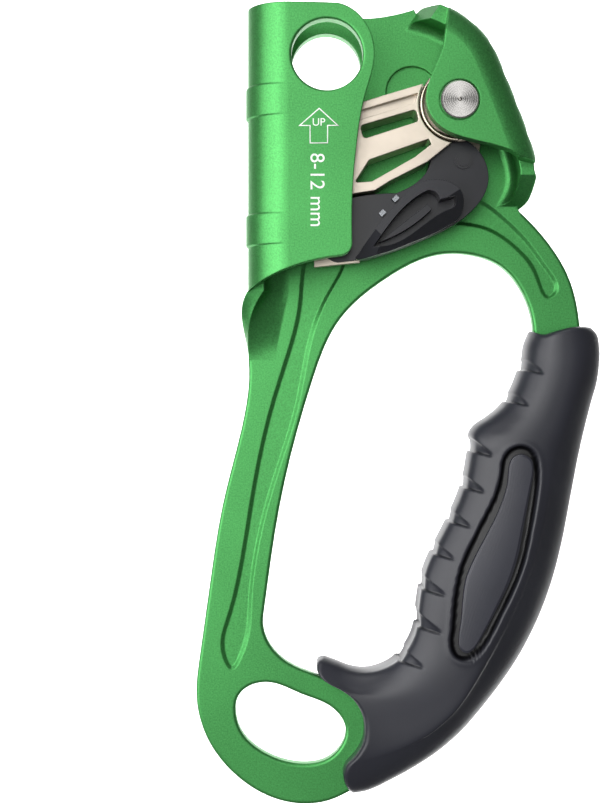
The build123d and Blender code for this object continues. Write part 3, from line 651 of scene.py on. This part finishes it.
class ASCENDER_OT_panels(bpy.types.Operator):
    """Builds the smooth panels set into the grip's front and rear"""
    bl_idname = "ascender.panels"
    bl_label = "Inset panels"

    def execute(self, context):
        sizes, colours = settings()
        half = sizes.grip_half / MM
        # Painted light: the grip's rubber made 1.35 times lighter, so that the inset panels look as bright
        # as the grip's face around them.
        rubber = moulded_rubber("moulded_rubber_panel_painted_light", scaled(opaque(colours.grip), 1.35), 0.33, 0.42)
        u = np.linspace(0.1, 0.85, 160)
        theta = np.linspace(0.25 * np.pi, 0.75 * np.pi, 50)
        flat, uu, ss, rise = grip_sections(u, theta)
        known = flat.reshape(-1, 2)
        height = (rise * grip_thickness(half, uu)).ravel()
        # Rings shrink from the panel's edge to its middle line, and follow the grip's face less the drop.
        ring = closed_curve(PANEL_EDGE, 150)
        share = np.concatenate([np.linspace(0, 0.9, 20), PANEL_RIM[:, 0]])
        drop = np.concatenate([np.zeros(20), PANEL_RIM[:, 1]])
        axis = np.clip(ring[:, 1], SPINE_Z[0], SPINE_Z[-1])
        spine = np.stack([np.interp(axis, SPINE_Z, SPINE_X), axis], 1)
        shape = spine[None] + share[:, None, None] * (ring - spine)[None]
        found = nearest_height(shape.reshape(-1, 2), known, height).reshape(shape.shape[:2])
        for name, side, node in (("grip_front_panel_skin", -1, "grip_front_panel"),
                                 ("grip_rear_panel_skin", 1, "grip_rear_panel")):
            y = PLATE_MID + side * (found - PANEL_INSET - drop[:, None])
            points = np.stack([shape[..., 0], y, shape[..., 1]], -1)
            piece = new_piece(name, points.reshape(-1, 3), grid_faces(len(share), len(ring), True), rubber,
                              "frame")
            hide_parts(node)
        return {"FINISHED"}


def nearest_height(points, known, height):
    """Surface height at flat points: the blend of the four nearest known points by inverse squared
    distance."""
    result = np.empty(len(points))
    for first in range(0, len(points), 500):
        block = points[first:first + 500]
        gap = ((block[:, None] - known[None]) ** 2).sum(-1)
        close = np.argpartition(gap, 4, axis=1)[:, :4]
        weight = 1 / (np.take_along_axis(gap, close, 1) + 1e-4)
        result[first:first + 500] = (weight * height[close]).sum(1) / weight.sum(1)
    return result


class ASCENDER_OT_marks(bpy.types.Operator):
    """Prints the direction arrow and the rope size on the channel's front wall"""
    bl_idname = "ascender.marks"
    bl_label = "Printed marks"

    def execute(self, context):
        sizes, _ = settings()
        ink = printed_ink("pad_printed_ink_white")
        front = WALL_FRONT - sizes.mark_rise / MM
        # The arrow is a flat band of quads between its two outlines.
        flat = np.array(ARROW_OUTER + ARROW_INNER)
        points = np.stack([flat[:, 0], np.full(len(flat), front), flat[:, 1]], 1)
        n = len(ARROW_OUTER)
        i = np.arange(n)
        faces = np.stack([i, (i + 1) % n, (i + 1) % n + n, i + n], 1)
        arrow = new_piece("direction_arrow", points, faces, ink, "frame", rounded=False)
        thicken(arrow)
        self.letters("mark_up", "UP", 2.6, (-1.95, -16.35), 0.0, ink, front)
        self.letters("mark_rope_size", "8-12 mm", 4.9, (-2.3, -32.6), -math.pi / 2, ink, front)
        return {"FINISHED"}

    def letters(self, name, words, height, centre, turn, ink, front):
        """Sets the words as a flat mesh, turned and then centred on a point of the front wall."""
        text = bpy.data.curves.new(name, "FONT")
        text.body = words
        text.align_x = "CENTER"
        text.align_y = "CENTER"
        text.size = height
        source = shown(name + "_source", text)
        bpy.context.view_layer.update()
        flat = bpy.data.meshes.new_from_object(source)
        bpy.data.objects.remove(source)
        co = np.empty(len(flat.vertices) * 3)
        flat.vertices.foreach_get("co", co)
        co = co.reshape(-1, 3)
        co -= (co.min(0) + co.max(0)) / 2
        c, s = math.cos(turn), math.sin(turn)
        x, z = co[:, 0] * c - co[:, 1] * s, co[:, 0] * s + co[:, 1] * c
        placed = np.stack([x + centre[0], np.full(len(co), front), z + centre[1]], 1) * MM
        flat.vertices.foreach_set("co", placed.ravel())
        coated(flat, ink)
        flat.name = name
        piece = shown(name, flat)
        thicken(piece)
        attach(piece, "frame")


def thicken(piece):
    """Gives a flat print a thin closed wall, with its back just under the sheet's face."""
    wall = piece.modifiers.new("print", "SOLIDIFY")
    wall.thickness = PRINT_WALL * MM
    wall.offset = 0.0


class ASCENDER_OT_stage(bpy.types.Operator):
    """Sets the pale floor, the soft lights and the camera"""
    bl_idname = "ascender.stage"
    bl_label = "Studio"

    def execute(self, context):
        scene = bpy.context.scene
        world = bpy.data.worlds.new("studio_air")
        world.use_nodes = True
        background = world.node_tree.nodes["Background"]
        background.inputs["Color"].default_value = (1, 1, 1, 1)
        background.inputs["Strength"].default_value = 0.22
        scene.world = world
        scene.view_settings.view_transform = "Standard"
        material, tree, shader = start("painted_floor_pale")
        grain = add(tree, "ShaderNodeTexNoise", {"Scale": 8.0})
        tint = shades(tree, grain.outputs["Fac"], [(0.0, linear("#f6f6f6")), (1.0, linear("#ffffff"))])
        tree.links.new(tint, shader.inputs["Base Color"])
        shader.inputs["Roughness"].default_value = 0.9
        # The floor runs back, turns up through a quarter circle and ends as the backdrop.
        turn = np.linspace(0, np.pi / 2, 56)
        y = np.concatenate([[0.1, 0.5], BACKDROP_Y - SWEEP_R + np.sin(turn) * SWEEP_R, [BACKDROP_Y] * 2])
        z = np.concatenate([[FLOOR_Z] * 2, FLOOR_Z + SWEEP_R - np.cos(turn) * SWEEP_R, [1.2, 2.4]])
        rows = len(y)
        x = np.tile([-FLOOR_HALF, FLOOR_HALF], rows)
        points = np.stack([x, np.repeat(y, 2), np.repeat(z, 2)], -1)
        mesh = bpy.data.meshes.new("floor_sweep")
        mesh.from_pydata(points.tolist(), [], grid_faces(rows, 2, False).tolist())
        mesh.shade_smooth()
        coated(mesh, material)
        shown("floor_sweep", mesh)
        for name, spot, size, power, goal in LAMPS:
            light = bpy.data.lights.new(name, "AREA")
            light.size = size
            light.energy = power
            lamp = shown(name, light)
            lamp.location = spot
            aim(lamp, np.array(goal) - np.array(spot))
        camera = shown("camera", bpy.data.cameras.new("camera"))
        camera.location = CAMERA_PLACE
        camera.rotation_euler = (math.pi / 2, 0, 0)
        camera.data.lens = CAMERA_LENS
        camera.data.sensor_width = CAMERA_SENSOR
        camera.data.clip_start = 0.01
        scene.camera = camera
        return {"FINISHED"}


def aim(lamp, direction):
    """Turns a lamp so that it shines along the direction: a tilt from straight down, then a turn about
    Z."""
    x, y, z = direction / np.linalg.norm(direction)
    lamp.rotation_euler = (math.acos(-z), 0, math.atan2(-x, y))


class ASCENDER_PT_panel(bpy.types.Panel):
    """Lists the sizes, the colours and the steps"""
    bl_idname = "ASCENDER_PT_panel"
    bl_label = "Hand ascender"
    bl_space_type = "VIEW_3D"
    bl_region_type = "UI"
    bl_category = "Ascender"

    def draw(self, context):
        for group in (context.scene.ascender_sizes, context.scene.ascender_colours):
            for key in group.__annotations__:
                self.layout.prop(group, key)
        for operator in OPERATORS:
            self.layout.operator(operator.bl_idname)


OPERATORS = (ASCENDER_OT_sheet, ASCENDER_OT_cam, ASCENDER_OT_trigger, ASCENDER_OT_steel, ASCENDER_OT_grip,
             ASCENDER_OT_panels, ASCENDER_OT_marks, ASCENDER_OT_stage)
CLASSES = (AscenderSizes, AscenderColours) + OPERATORS + (ASCENDER_PT_panel,)


def register():
    """Registers the classes and hangs the sizes and colours on the scene."""
    for cls in CLASSES:
        bpy.utils.register_class(cls)
    bpy.types.Scene.ascender_sizes = bpy.props.PointerProperty(type=AscenderSizes)
    bpy.types.Scene.ascender_colours = bpy.props.PointerProperty(type=AscenderColours)


def unregister():
    """Undoes register."""
    del bpy.types.Scene.ascender_colours
    del bpy.types.Scene.ascender_sizes
    for cls in reversed(CLASSES):
        bpy.utils.unregister_class(cls)


def main():
    register()
    for operator in OPERATORS:
        group, action = operator.bl_idname.split(".")
        getattr(getattr(bpy.ops, group), action)()


if __name__ == "__main__":
    main()
